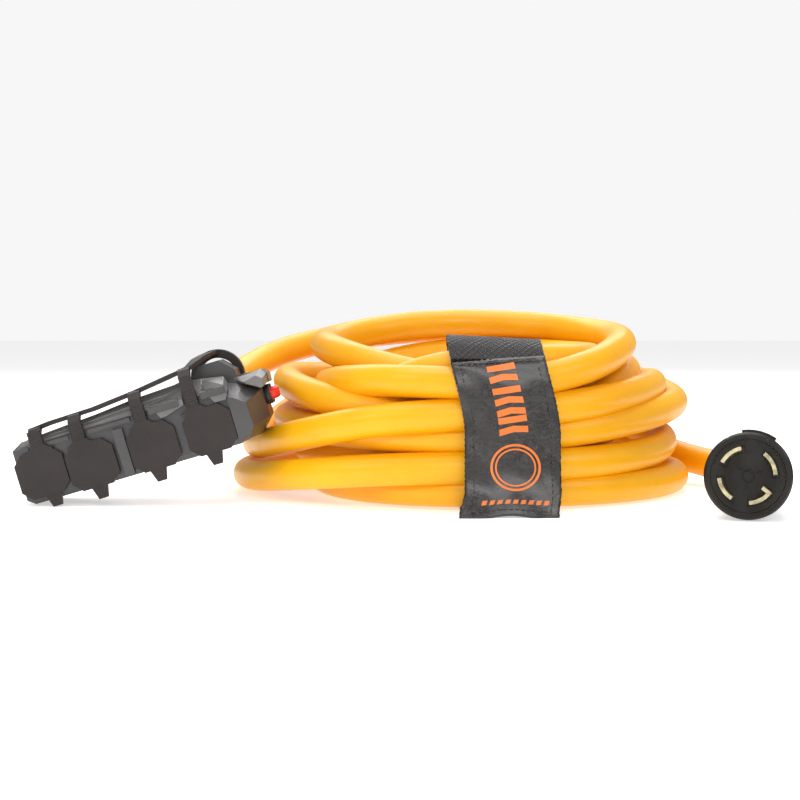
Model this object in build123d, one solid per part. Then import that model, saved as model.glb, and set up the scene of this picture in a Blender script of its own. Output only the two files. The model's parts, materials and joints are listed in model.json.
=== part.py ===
"""Shore power cord: a block of four household outlets with hinged rubber caps and two
push-to-reset breakers, a coiled heavy cord in a storage strap, and a four-blade locking plug.

Millimetres, +Z up. The outlet block lies pitched, its left end on the ground and its right end
over the coil. It is drawn level in its own axes first: X along the block from its left end, Y back
from its front face, Z up from its underside. in_block() then pitches and places each piece.
"""

from build123d import *
import math
import os

os.makedirs("parts", exist_ok=True)

# ---- Outlet block: driving dimensions, in the block's own axes ----
BLOCK_PITCH = 16.5
BLOCK_AT = (-64.79, -37.8, -2.917)
BLOCK_LEFT = 1.2
BLOCK_RIGHT = 143.2
BLOCK_BOTTOM = 2.5
BLOCK_BACK = 44.0
RIDGE_Z = 38.0
BACK_EAVE_Z = 30.0
SPLIT_FRONT = 16.0
SPLIT_BACK = 17.0
WALL = 3.0
LEFT_WALL = 1.6
END_PLATE_LEFT = 124.8
RAISED_FACE = -3.2
CAVITY_FLOOR = 4.4
CAVITY_ROOF = 35.2
RUNNING_GAP = 0.15

# Outlets: centre along the block; caps sit a little off their outlets, as soft rubber does
OUTLET_X = [14.2, 42.4, 78.2, 110.6]
OUTLET_Z = 15.9
OUTLET_W, OUTLET_H, OUTLET_CHAMFER = 21.0, 21.4, 4.0
BLADE_SLOT_Z = 21.3
GROUND_SLOT_Z = 9.4
BLADE_SPACING = 12.7
CONTACT_FRONT, CONTACT_BACK = 5.2, 18.0
BUSBAR_FRONT, BUSBAR_T = 20.2, 1.2

# Caps
CAP_W, CAP_H, CAP_T, CAP_CHAMFER = 27.6, 25.8, 3.0, 5.2
CAP_Y = -3.4
CAP_Z = 15.0
CAP_LIFT = [3.2, 0.0, 0.0, 0.0]
CAP_TAB_SHIFT = [3.4, 0.9, -0.9, -0.8]
CAP_TAB_LENGTH = 6.7
NECK_X = [16.2, 39.4, 75.2, 105.4]
NECK_W = 6.8
HINGE_Y = -1.9
HINGE_Z = [35.6, 32.4, 32.4, 32.4]
FOOT_GAP = 1.9
NECK_GAP = 2.4

# Breakers and their buttons
BREAKER_Y = [24.6, 36.2]
BREAKER_LEFT, BREAKER_RIGHT = 124.6, 140.0
BREAKER_BOTTOM, BREAKER_TOP = 15.4, 28.8
BREAKER_HALF_W = [5.4, 4.6]
BUTTON_Z = 24.2
BUTTON_R = 3.4
BUTTON_TIP = 150.6
BARREL_R = 4.3

# Cord entry on the back of the block
ENTRY_X, ENTRY_Z = 117.5, 38.0
RELIEF_R, RELIEF_TIP_R = 12.0, 10.4
RELIEF_START, RELIEF_END = 46.2, 80.0
LOOP_RISE, LOOP_R = 4.2, 15.6
JACKET_END = 34.4

# ---- Cord, coil, strap and plug, in the part's own frame ----
CORD_D = 18.0
CORD_R = CORD_D / 2
CORD_BORE = CORD_R + 0.12
COIL_CENTRE = (179.0, 63.5)
COIL_RX, COIL_RY = 141.5, 143.0
HOLE_CENTRE = (176.5, 28.0)
HOLE_RX, HOLE_RY = 68.0, 67.0
COIL_SHELF_Z = 32.6
STRAP_X, STRAP_W, STRAP_T = 202.5, 50.8, 1.6
BUNDLE_Y = (-75.2, -30.5)
BUNDLE_Z = (2.2, 92.2)
PLUG_AT = (322.5, -103.0, 23.45)
PLUG_YAW, PLUG_DROP = 14.0, 6.5
PLUG_FACE_R = 22.75
PLUG_BODY_LENGTH = 52.0
PLUG_LENGTH = 85.0
BLADE_R, BLADE_T, BLADE_ARC, BLADE_LENGTH = 14.9, 1.9, 50.0, 19.0
BLADE_ANGLES = {
    "blade_line_1": 28.0,
    "blade_line_2": 128.0,
    "blade_neutral": 212.0,
    "blade_ground": 300.0,
}
WIRE_R = 2.0

# The cord's route where it isn't coiled
BLOCK_LEAD = [(37.08, 42.2, 66.89), (37.08, 72.5, 66.89), (46.2, 101.0, 73.0)]
PLUG_LEAD = [
    (262.0, 124.6, 26.0),
    (296.0, 112.0, 25.0),
    (326.0, 88.0, 16.5),
    (346.0, 56.0, 12.4),
    (351.9, 15.0, 9.6),
    (342.93, -21.05, 13.83),
]


# ---- Helpers ----
def in_block(shape):
    """Pitch a piece with the block and put it in its place."""
    return Pos(*BLOCK_AT) * Rot(0, -BLOCK_PITCH, 0) * shape


def save(name, shape):
    export_step(shape, f"parts/{name}.step")


def brick(x0, x1, y0, y1, z0, z1):
    """A box between two corners."""
    centre = Pos((x0 + x1) / 2, (y0 + y1) / 2, (z0 + z1) / 2)
    return centre * Box(x1 - x0, y1 - y0, z1 - z0)


def prism_x(points_yz, x0, x1):
    """An outline in Y and Z, extruded along X."""
    face = Plane.YZ.offset(x0) * make_face(Polyline(*points_yz, close=True))
    return extrude(face, x1 - x0)


def prism_y(points_xz, y0, y1):
    """An outline in X and Z, extruded along Y."""
    face = Plane.XZ.offset(-y0) * make_face(Polyline(*points_xz, close=True))
    return extrude(face, -(y1 - y0))


def rod_x(x0, x1, y, z, radius):
    return Pos((x0 + x1) / 2, y, z) * Rot(0, 90, 0) * Cylinder(radius, x1 - x0)


def rod_y(x, y0, y1, z, radius):
    return Pos(x, (y0 + y1) / 2, z) * Rot(90, 0, 0) * Cylinder(radius, y1 - y0)


def upright(radius, z0, z1):
    return Pos(0, 0, (z0 + z1) / 2) * Cylinder(radius, z1 - z0)


def octagon(x, z, width, height, chamfer):
    """The corners of a chamfered rectangle about (x, z)."""
    half_w, half_h = width / 2, height / 2
    return [
        (x - half_w + chamfer, z - half_h),
        (x + half_w - chamfer, z - half_h),
        (x + half_w, z - half_h + chamfer),
        (x + half_w, z + half_h - chamfer),
        (x + half_w - chamfer, z + half_h),
        (x - half_w + chamfer, z + half_h),
        (x - half_w, z + half_h - chamfer),
        (x - half_w, z - half_h + chamfer),
    ]


def wire(points, radius=WIRE_R):
    """A round conductor along straight runs with rounded corners."""
    path = FilletPolyline(*points, radius=[min(arc, 6.0) for arc in corner_radii(points)])
    section = Plane(path @ 0, z_dir=path % 0) * Circle(radius)
    return sweep(section, path=path)


def corner_radii(points):
    """Each corner's arc, as large as its two runs allow."""
    radii = []
    for before, here, after in zip(points, points[1:], points[2:]):
        run_in, run_out = Vector(*here) - Vector(*before), Vector(*after) - Vector(*here)
        half_turn = math.radians(run_in.get_angle(run_out)) / 2
        radii.append(0.45 * min(run_in.length, run_out.length) / math.tan(half_turn))
    return radii


def cord_tube(name, points):
    """A plain round cord along straight runs joined by tangent arcs."""
    radii = corner_radii(points)
    path = FilletPolyline(*points, radius=radii)
    tube = sweep(Plane(path @ 0, z_dir=path % 0) * Circle(CORD_R), path=path)
    expected = math.pi * CORD_R**2 * path.length
    print(name, "radii", [round(r) for r in radii], "length", round(path.length, 1),
          "volume ratio", round(tube.volume / expected, 4))
    return tube


# ---- Block shells ----
END_FRONT = [
    (END_PLATE_LEFT, 3.2),
    (131.6, 5.4),
    (134.6, 10.3),
    (134.2, 24.0),
    (127.8, 28.7),
    (END_PLATE_LEFT, 28.8),
]
END_BACK = [
    (END_PLATE_LEFT, BLOCK_BOTTOM),
    (135.0, 3.8),
    (BLOCK_RIGHT, 12.5),
    (BLOCK_RIGHT, 28.2),
    (136.8, 34.0),
    (END_PLATE_LEFT, 37.4),
]
LEFT_CUT = 3.4
LOW_CORNER = [
    (0, 0),
    (BLOCK_LEFT + LEFT_CUT, 0),
    (BLOCK_LEFT + LEFT_CUT, BLOCK_BOTTOM),
    (BLOCK_LEFT, BLOCK_BOTTOM + LEFT_CUT),
    (0, BLOCK_BOTTOM + LEFT_CUT),
]
HIGH_CORNER = [
    (0, 40),
    (BLOCK_LEFT + LEFT_CUT, 40),
    (BLOCK_LEFT + LEFT_CUT, RIDGE_Z),
    (BLOCK_LEFT, RIDGE_Z - LEFT_CUT),
    (0, RIDGE_Z - LEFT_CUT),
]
LEFT_CORNERS = [LOW_CORNER, HIGH_CORNER]
SCREWS = [(x, z) for z in (13.5, 31.0) for x in (28.3, 60.3, 94.4)]
SCREW_R, SCREW_HEAD_R = 1.5, 2.8
SCREW_TIP, SCREW_SEAT, SCREW_HEAD_T = 6.0, 38.0, 2.2


def faceted_end():
    """The front shell's right end: a small front plate that widens towards the back."""
    front = Plane.XZ.offset(-RAISED_FACE) * make_face(Polyline(*END_FRONT, close=True))
    back = Plane.XZ.offset(-SPLIT_FRONT) * make_face(Polyline(*END_BACK, close=True))
    return loft([front, back], ruled=True)


def eaves():
    """Bevelled ledges over the caps, with gaps for the caps' necks, and lugs beside two of them."""
    ledge_z0, ledge_z1 = 32.0, 34.2
    lug_front, lug_z0, lug_z1 = -4.4, 31.8, 36.2
    lug = [(lug_front, lug_z0 + 0.8), (0.4, lug_z0), (12.0, RIDGE_Z), (4.0, RIDGE_Z), (lug_front, lug_z1)]
    gaps = [x for neck in NECK_X for x in (neck - NECK_W / 2 - NECK_GAP, neck + NECK_W / 2 + NECK_GAP)]
    edges = [BLOCK_LEFT + 5.0, *gaps, END_PLATE_LEFT]
    pieces = []
    for left, right in zip(edges[::2], edges[1::2]):
        front = -1.0 if left < OUTLET_X[0] + CAP_W / 2 else -2.4
        low = [(front, ledge_z0), (1.0, ledge_z0), (1.0, ledge_z1 + 1.0), (front, ledge_z1)]
        pieces.append(prism_x(low, left, right))
    for neck, length in zip(NECK_X[2:], (17.0, 14.0)):
        start = neck + NECK_W / 2 + NECK_GAP
        pieces.append(prism_x(lug, start, start + length))
    return pieces


def front_housing():
    """The front half: outlet wall, raised end, eaves, and posts that the screws cut into."""
    profile = [
        (0, 5.5),
        (3, BLOCK_BOTTOM),
        (SPLIT_FRONT, BLOCK_BOTTOM),
        (SPLIT_FRONT, RIDGE_Z),
        (12, RIDGE_Z),
        (0, 34.4),
    ]
    body = prism_x(profile, BLOCK_LEFT, END_PLATE_LEFT + 0.2)
    body += faceted_end()
    for piece in eaves():
        body += piece
    body += brick(58.4, 63.9, RAISED_FACE, 1.0, 3.6, 30.0)
    cavity = [
        (WALL, CAVITY_FLOOR),
        (SPLIT_BACK, CAVITY_FLOOR),
        (SPLIT_BACK, CAVITY_ROOF),
        (12.5, CAVITY_ROOF),
        (WALL, 32.0),
    ]
    body -= prism_x(cavity, BLOCK_LEFT + LEFT_WALL, END_PLATE_LEFT + 0.6)
    end_room = [(124, 6.0), (131, 6.2), (132.4, 12), (132.4, 26), (127, 30.5), (124, 32)]
    body -= prism_y(end_room, 2.0, SPLIT_BACK)
    for corner in LEFT_CORNERS:
        body -= prism_y(corner, -5, SPLIT_BACK)
    for x in OUTLET_X:
        width, height = OUTLET_W + 2 * RUNNING_GAP, OUTLET_H + 2 * RUNNING_GAP
        hole = octagon(x, OUTLET_Z, width, height, OUTLET_CHAMFER)
        body -= prism_y(hole, -1.0, WALL + 0.5)
    for x, z in SCREWS:
        body += rod_y(x, WALL - 0.5, SPLIT_FRONT, z, 2.7)
        body -= rod_y(x, SCREW_TIP - 0.5, SPLIT_BACK, z, SCREW_R + 0.02)
    return body


def rear_housing():
    """The back half: breaker end with its hood, cord boss, and screw posts."""
    profile = [
        (SPLIT_BACK, BLOCK_BOTTOM),
        (41, BLOCK_BOTTOM),
        (BLOCK_BACK, 5.5),
        (BLOCK_BACK, BACK_EAVE_Z),
        (36, RIDGE_Z),
        (SPLIT_BACK, RIDGE_Z),
    ]
    body = prism_x(profile, BLOCK_LEFT, BLOCK_RIGHT)
    for corner in LEFT_CORNERS:
        body -= prism_y(corner, 10, 50)
    low_right = [(135, 1.5), (150, 1.5), (150, 12.5), (BLOCK_RIGHT, 12.5), (135, 3.8)]
    body -= prism_y(low_right, 10, 50)
    underside = [
        (110, BLOCK_BOTTOM),
        (110, 0),
        (140, 0),
        (135, 3.8),
        (END_PLATE_LEFT, BLOCK_BOTTOM),
    ]
    body -= prism_y(underside, 10, 50)
    hood = [
        (128, 33),
        (BLOCK_RIGHT - 0.5, 31.0),
        (148.0, 31.0),
        (148.2, 36.2),
        (145.4, 39.0),
        (132, 39.4),
    ]
    body += prism_y(hood, 20.0, 40.0)
    boss = octagon(ENTRY_X, ENTRY_Z, 27.0, 25.6, 7.5)
    body += prism_y(boss, 21.0, 46.0)
    cavity = [
        (SPLIT_FRONT, CAVITY_FLOOR),
        (40, CAVITY_FLOOR),
        (41.2, 6),
        (41.2, 29),
        (34.8, CAVITY_ROOF),
        (SPLIT_FRONT, CAVITY_ROOF),
    ]
    room = prism_x(cavity, BLOCK_LEFT + LEFT_WALL, BLOCK_RIGHT - WALL)
    slope = [
        (129, 0),
        (150, 0),
        (150, 16.5),
        (BLOCK_RIGHT - WALL, 15.0),
        (132, 6.6),
        (129, 6.0),
    ]
    room -= prism_y(slope, 10, 50)
    shoulder = [(131, 40), (150, 40), (150, 29.4), (141.5, 29.4), (136.0, 33.2), (131, 34.6)]
    room -= prism_y(shoulder, 10, 50)
    body -= room
    body -= rod_y(ENTRY_X, 23.5, 41.4, ENTRY_Z, 10.9)
    body -= rod_y(ENTRY_X, 41.0, 47.0, ENTRY_Z, 10.2)
    for y in BREAKER_Y:
        body -= rod_x(BLOCK_RIGHT - WALL - 1, BLOCK_RIGHT + 1, y, BUTTON_Z, BARREL_R + 0.1)
    for x, z in SCREWS:
        body += rod_y(x, 22.2, BLOCK_BACK - 1.5, z, 3.4)
        body -= rod_y(x, SPLIT_FRONT, BLOCK_BACK, z, SCREW_R + 0.2)
        body -= rod_y(x, SCREW_SEAT, BLOCK_BACK + 1, z, SCREW_HEAD_R + 0.2)
    return body


def gasket():
    """The seal between the two halves, cut round the screw posts."""
    outer = [
        (1.9, 6.6),
        (5.2, 3.3),
        (124.0, 3.3),
        (134.4, 4.9),
        (142.2, 13.0),
        (142.2, 27.8),
        (136.2, 33.2),
        (124.6, 36.6),
        (5.2, 37.0),
        (1.9, 33.7),
    ]
    inner = [
        (2.9, 7.4),
        (5.6, 4.5),
        (124.0, 4.7),
        (131.5, 6.2),
        (139.6, 15.4),
        (139.6, 27.0),
        (135.0, 31.4),
        (124.0, 35.0),
        (6.4, 35.0),
        (2.9, 31.6),
    ]
    ring = prism_y(outer, SPLIT_FRONT, SPLIT_BACK)
    ring -= prism_y(inner, SPLIT_FRONT - 1, SPLIT_BACK + 1)
    for x, z in SCREWS:
        ring -= rod_y(x, SPLIT_FRONT - 6, SPLIT_BACK + 3, z, 3.6)
    return ring


# ---- Outlets ----
def blade_slot(x, z, width, height):
    return brick(x - width / 2, x + width / 2, -1, 6, z - height / 2, z + height / 2)


def outlet_face(x):
    """A slotted face with a lip behind the shell's front wall."""
    face = prism_y(octagon(x, OUTLET_Z, OUTLET_W, OUTLET_H, OUTLET_CHAMFER), 0, WALL + 0.1)
    lip = octagon(x, OUTLET_Z, OUTLET_W + 1.4, OUTLET_H + 1.2, OUTLET_CHAMFER)
    face += prism_y(lip, WALL + 0.1, 4.8)
    face -= blade_slot(x - BLADE_SPACING / 2, BLADE_SLOT_Z, 1.9, 7.2)
    face -= blade_slot(x + BLADE_SPACING / 2, BLADE_SLOT_Z, 2.2, 8.2)
    face -= blade_slot(x + BLADE_SPACING / 2 - 2.4, BLADE_SLOT_Z, 5.0, 2.2)
    face -= rod_y(x, -1, 6, GROUND_SLOT_Z, 2.7)
    return face


def outlet_contacts(x):
    """Three clips: line, neutral and ground, each with a tail on its own busbar."""
    clips = []
    low, high = BLADE_SLOT_Z - 4.6, BLADE_SLOT_Z + 4.6
    tail_start = CONTACT_BACK - 0.2
    for cx, tail_z in ((x - BLADE_SPACING / 2, 17.5), (x + BLADE_SPACING / 2, 24.5)):
        clip = brick(cx - 2.4, cx + 2.4, CONTACT_FRONT, CONTACT_BACK, low, high)
        clip -= brick(cx - 1.2, cx + 1.2, CONTACT_FRONT - 1, CONTACT_BACK - 1.2, low - 1, high + 1)
        tail = brick(cx - 2, cx + 2, tail_start, BUSBAR_FRONT, tail_z - 0.7, tail_z + 0.7)
        clips.append(clip + tail)
    tube = rod_y(x, CONTACT_FRONT, CONTACT_BACK, GROUND_SLOT_Z, 3.5)
    tube -= rod_y(x, CONTACT_FRONT - 1, CONTACT_BACK - 1.2, GROUND_SLOT_Z, 2.75)
    clips.append(tube + brick(x - 2, x + 2, tail_start, BUSBAR_FRONT, 8.7, 10.1))
    return Compound(clips)


def busbar(x0, x1, z):
    return brick(x0, x1, BUSBAR_FRONT, BUSBAR_FRONT + BUSBAR_T, z - 1.9, z + 1.9)


# ---- Caps and tether ----
def cap(i):
    """An octagonal cap with a pull tab, a neck and a rounded end at its living hinge."""
    x, z = OUTLET_X[i], CAP_Z + CAP_LIFT[i]
    back = CAP_Y + CAP_T
    body = prism_y(octagon(x, z, CAP_W, CAP_H, CAP_CHAMFER), CAP_Y, back)
    bottom, top = z - CAP_H / 2, z + CAP_H / 2
    tab = x + CAP_TAB_SHIFT[i]
    tab_line = [
        (tab - 5.2, bottom + 1),
        (tab - 4.9, bottom),
        (tab - 2.6, bottom - CAP_TAB_LENGTH),
        (tab + 2.6, bottom - CAP_TAB_LENGTH),
        (tab + 4.2, bottom),
        (tab + 4.8, bottom + 1),
    ]
    body += prism_y(tab_line, CAP_Y + 0.3, back - 0.3)
    neck, hinge_z = NECK_X[i], HINGE_Z[i]
    left, right = neck - NECK_W / 2, neck + NECK_W / 2
    shoulder = [(0, hinge_z - 0.2), (0, top + 2.6), (2.0, top + 0.9), (5.0, top - 0.6)]
    left_side = [(left - out, height) for out, height in reversed(shoulder)]
    right_side = [(right + out, height) for out, height in shoulder]
    body += prism_y(left_side + right_side, CAP_Y, back)
    body += rod_x(left, right, HINGE_Y, hinge_z - 0.2, CAP_T / 2)
    cavity_inside = octagon(x, z, CAP_W - 6, CAP_H - 6, CAP_CHAMFER - 1.5)
    body -= prism_y(cavity_inside, back - 0.8, back + 1)
    return body


TETHER_LINE = [
    (12, 8.5, 42.6),
    (24, 8.5, 43.8),
    (50, 8.5, 44.4),
    (75, 8.5, 46.8),
    (97, 8.5, 49.8),
    (108, 9.0, 51.4),
    (113, 20, 54.4),
    (116.5, 34, 55.6),
    (ENTRY_X, 46.5, ENTRY_Z + LOOP_RISE + LOOP_R - 1.8),
]
BAND_W, BAND_T = 8.6, 2.6


def band_height(x):
    """The band's middle height above a place along the block."""
    for (x0, _, z0), (x1, _, z1) in zip(TETHER_LINE, TETHER_LINE[1:]):
        if x0 <= x <= x1:
            return z0 + (z1 - z0) * (x - x0) / (x1 - x0)
    raise ValueError(f"the band doesn't pass over {x}")


def tether_strap():
    """A flat rubber band along the top, one foot for each cap, and a loop round the cord boot."""
    sections = []
    points = [Vector(*p) for p in TETHER_LINE]
    for i, here in enumerate(points):
        ahead = points[min(i + 1, len(points) - 1)] - points[max(i - 1, 0)]
        plan = Vector(ahead.X, ahead.Y, 0).normalized()
        across = Vector(-plan.Y, plan.X, 0)
        sections.append(Plane(here, x_dir=across, z_dir=ahead.normalized()) * Rectangle(BAND_W, BAND_T))
    band = loft(sections, ruled=True)
    for neck, hinge_z in zip(NECK_X, HINGE_Z):
        z = band_height(neck)
        foot = [
            (CAP_Y, hinge_z + FOOT_GAP),
            (CAP_Y + CAP_T, hinge_z + FOOT_GAP),
            (CAP_Y + CAP_T, z - 4.6),
            (5.4, z - 1.2),
            (5.4, z + 1.2),
            (0.4, z),
            (CAP_Y, z - 3.4),
        ]
        band += prism_x(foot, neck - NECK_W / 2, neck + NECK_W / 2)
    start, end, raised = RELIEF_START + 0.6, RELIEF_START + 8.6, ENTRY_Z + LOOP_RISE
    loop = rod_y(ENTRY_X, start, end, ENTRY_Z, RELIEF_R + 3.2)
    loop += rod_y(ENTRY_X, start, end, raised, LOOP_R)
    loop -= rod_y(ENTRY_X, start - 1, end + 1, ENTRY_Z, RELIEF_R + 0.4)
    loop -= rod_y(ENTRY_X, start - 1, end + 1, raised - 0.8, LOOP_R - 4.2)
    band += loop
    low, high = raised + LOOP_R - 3.4, raised + LOOP_R - 0.5
    band += brick(ENTRY_X - 4.2, ENTRY_X + 4.2, 44.0, RELIEF_START + 2.0, low, high)
    return band


# ---- Breakers ----
def breaker_body(i):
    """A breaker's case and barrel, bored for its button."""
    y, half = BREAKER_Y[i], BREAKER_HALF_W[i]
    body = brick(BREAKER_LEFT, BREAKER_RIGHT, y - half, y + half, BREAKER_BOTTOM, BREAKER_TOP)
    body += rod_x(BREAKER_RIGHT - 0.5, BLOCK_RIGHT + 2.6, y, BUTTON_Z, BARREL_R)
    return body - rod_x(131.0, BLOCK_RIGHT + 5, y, BUTTON_Z, BUTTON_R + 0.15)


def breaker_collar(i):
    """The nut round a breaker's barrel."""
    y = BREAKER_Y[i]
    ring = rod_x(BLOCK_RIGHT + 0.05, BLOCK_RIGHT + 3.4, y, BUTTON_Z, 5.6)
    ring -= rod_x(BLOCK_RIGHT - 1, BLOCK_RIGHT + 2.6, y, BUTTON_Z, BARREL_R + 0.02)
    return ring - rod_x(BLOCK_RIGHT + 2, BLOCK_RIGHT + 5, y, BUTTON_Z, BUTTON_R + 0.3)


def breaker_button(i):
    shaft = rod_x(137.6, BUTTON_TIP, BREAKER_Y[i], BUTTON_Z, BUTTON_R)
    tip = shaft.faces().sort_by(Axis.X)[-1]
    return chamfer(tip.edges(), 0.8)


def breaker_spring(i):
    coil_line = Helix(pitch=1.2, height=5.6, radius=2.3)
    section = Plane(coil_line @ 0, z_dir=coil_line % 0) * Circle(0.3)
    spring = sweep(section, path=coil_line, is_frenet=True)
    return Pos(131.5, BREAKER_Y[i], BUTTON_Z) * Rot(0, 90, 0) * spring


# ---- Cord entry ----
def ribbed_boot(start, end, radius, tip_radius, bore, ribs):
    """A tapered boot with raised ribs, drawn as a half outline and turned about +Z."""
    length = end - start
    rib_t, rib_h = length / ribs * 0.55, 1.0
    outline = [(bore, start)]
    for k in range(ribs):
        z0 = start + length * k / ribs
        r = radius + (tip_radius - radius) * k / ribs
        root_r, rib_end, next_start = r - rib_h, z0 + rib_t, z0 + length / ribs
        outline += [(r, z0), (r, rib_end), (root_r, rib_end + 0.4), (root_r, next_start - 0.4)]
    outline += [(tip_radius - rib_h, end), (bore, end)]
    return revolve(Plane.XZ * make_face(Polyline(*outline, close=True)), Axis.Z)


def block_strain_relief():
    """The block's boot: ribs outside, and a flanged tube that the boss holds."""
    boot = ribbed_boot(RELIEF_START, RELIEF_END, RELIEF_R, RELIEF_TIP_R, CORD_BORE, 7)
    tube = upright(10.0, 39.8, 46.4) + upright(10.75, 38.6, 40.9) - upright(CORD_BORE, 30, 60)
    return Pos(ENTRY_X, 0, ENTRY_Z) * Rot(-90, 0, 0) * (boot + tube)


def block_cord_end():
    """The last stretch of the cord, through the boot and the clamp to the end of its jacket."""
    return rod_y(ENTRY_X, JACKET_END, RELIEF_END, ENTRY_Z, CORD_R)


def cable_clamp():
    """Two half shells that grip the jacket inside the boss."""
    ring = rod_y(ENTRY_X, 34.2, 38.2, ENTRY_Z, 10.7) - rod_y(ENTRY_X, 33, 40, ENTRY_Z, CORD_BORE)
    ring -= brick(ENTRY_X - 12, ENTRY_X + 12, 33, 40, ENTRY_Z - 0.4, ENTRY_Z + 0.4)
    return ring


def housing_screws():
    """Six pan-head screws, driven from the back."""
    screws = []
    for x, z in SCREWS:
        screw = rod_y(x, SCREW_TIP, SCREW_SEAT + 0.2, z, SCREW_R)
        head = rod_y(x, SCREW_SEAT, SCREW_SEAT + SCREW_HEAD_T, z, SCREW_HEAD_R)
        slot = brick(x - 2.0, x + 2.0, SCREW_SEAT + 1.2, SCREW_SEAT + 3, z - 0.4, z + 0.4)
        cross = brick(x - 0.4, x + 0.4, SCREW_SEAT + 1.2, SCREW_SEAT + 3, z - 2.0, z + 2.0)
        screws.append(screw + head - slot - cross)
    return Compound(screws)


BLOCK_WIRES = {
    "line_1_wire": [
        (113.4, 32.3, 42.1),
        (113.6, 27.8, 40.0),
        (116.5, 24.4, 31.0),
        (117.3, 24.4, 22.0),
        (123.8, 24.4, 19.5),
    ],
    "line_2_wire": [
        (121.6, 31.6, 42.1),
        (123.0, 29.5, 37.0),
        (128.3, 31.5, 32.3),
        (130.3, 35.2, 30.9),
    ],
    "neutral_wire": [(113.4, 31.7, 33.9), (112.6, 28.0, 25.2), (110.0, 22.4, 24.5)],
    "ground_wire": [
        (121.6, 31.2, 33.9),
        (118.0, 30.4, 25.5),
        (112.5, 28.0, 12.5),
        (110.5, 22.4, 9.5),
    ],
}


# ---- Coil and strap ----
def ellipse_prism(centre, rx, ry, z0, z1):
    face = Pos(centre[0], centre[1], z0) * Ellipse(rx, ry)
    return extrude(face, z1 - z0)


def cord_coil():
    """The outer shape of the wound cord: a ring that rises towards the back."""
    ring = ellipse_prism(COIL_CENTRE, COIL_RX, COIL_RY, 0, 120)
    ring -= ellipse_prism(HOLE_CENTRE, HOLE_RX, HOLE_RY, -1, 121)
    front, back = COIL_CENTRE[1] - COIL_RY - 5, COIL_CENTRE[1] + COIL_RY + 5
    side = [(front, 0), (back, 0), (back, 106), (104, 112), (front, 91.5)]
    ring &= prism_x(side, 0, 400)
    notch = [(-10, -120), (76.5, -120), (76.5, 8), (60.5, 20), (60.5, 70), (-10, 70)]
    cut = extrude(Pos(0, 0, COIL_SHELF_Z) * make_face(Polyline(*notch, close=True)), 100)
    ring -= cut
    half = STRAP_W / 2 + 0.8
    zone = brick(STRAP_X - half, STRAP_X + half, -95, -22, -1, 121)
    zone -= brick(STRAP_X - half - 1, STRAP_X + half + 1, *BUNDLE_Y, *BUNDLE_Z)
    return ring - zone


def strap_webbing():
    """The strap's closed band round the front bundle."""
    (y0, y1), (z0, z1) = BUNDLE_Y, BUNDLE_Z
    half = STRAP_W / 2
    gap = 0.3
    reach = gap + STRAP_T
    left, right, low = STRAP_X - half, STRAP_X + half, 0.05
    outer = brick(left, right, y0 - reach, y1 + reach, low, z1 + reach)
    inner = brick(left - 1, right + 1, y0 - gap, y1 + gap, low + STRAP_T, z1 + gap)
    return outer - inner


PANEL_LINE = [
    (-92.0, 1.0),
    (-85.5, 22.0),
    (-82.0, 48.0),
    (-80.3, 70.0),
    (-79.2, 84.0),
    (-79.1, 94.9),
]


def strap_panel():
    """The label panel on the strap's front, its foot kicked forward."""
    front = [(y, z) for y, z in PANEL_LINE]
    behind = [(y + STRAP_T, z) for y, z in reversed(PANEL_LINE)]
    half = STRAP_W / 2
    return prism_x(front + behind, STRAP_X - half, STRAP_X + half)


def strap_hook_tab():
    top = BUNDLE_Z[1] + 0.3 + STRAP_T
    return brick(STRAP_X - STRAP_W / 2, STRAP_X + STRAP_W / 2, -68.0, -40.0, top + 0.1, top + 1.7)


# ---- Plug: drawn about +Z with its face at Z = 0 and its blades towards -Z ----
def plug_plane():
    """X points to the right and Z back along the plug, seen from its face."""
    yaw, drop = math.radians(PLUG_YAW), math.radians(PLUG_DROP)
    back = (math.sin(yaw) * math.cos(drop), math.cos(yaw) * math.cos(drop), -math.sin(drop))
    return Plane(PLUG_AT, x_dir=(math.cos(yaw), -math.sin(yaw), 0), z_dir=back)


def turned(points_rz):
    """A half outline of radius and height, turned about Z."""
    return revolve(Plane.XZ * make_face(Polyline(*points_rz, close=True)), Axis.Z)


def arc_blade(angle, z0, z1, r_out, thickness, arc):
    """A curved blade: part of a ring about Z, centred on an angle seen from the face."""
    ring = Cylinder(r_out, z1 - z0) - Cylinder(r_out - thickness, z1 - z0 + 1)
    half = math.radians(arc / 2)
    reach = 3 * r_out
    across, along = reach * math.sin(half), reach * math.cos(half)
    wedge = [(0, 0), (along, across), (along, -across)]
    sector = extrude(Pos(0, 0, -60) * make_face(Polyline(*wedge, close=True)), 120)
    return Pos(0, 0, (z0 + z1) / 2) * Rot(0, 0, -angle) * (ring & sector)


def plug_face():
    """The blade carrier: a thick disc with a shallow well round each blade."""
    outline = [
        (0, 0.6),
        (19.0, 0.6),
        (19.4, 0),
        (21.6, 0),
        (PLUG_FACE_R, 1.1),
        (PLUG_FACE_R, 5.0),
        (20.0, 5.0),
        (20.0, 7.6),
        (0, 7.6),
    ]
    disc = turned(outline)
    for name, angle in BLADE_ANGLES.items():
        disc -= arc_blade(angle, -1, 1.9, BLADE_R + 1.2, BLADE_T + 2.4, BLADE_ARC + 14)
        disc -= arc_blade(angle, -1, 9, BLADE_R + 0.05, BLADE_T + 0.1, BLADE_ARC + 0.4)
    disc -= ground_hook(-1, 9, 0.06)
    nub_turn, nub_r = math.radians(-118), PLUG_FACE_R + 0.6
    nub = Pos(nub_r * math.cos(nub_turn), nub_r * math.sin(nub_turn), 2.6) * Sphere(1.9)
    return disc + nub


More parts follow.
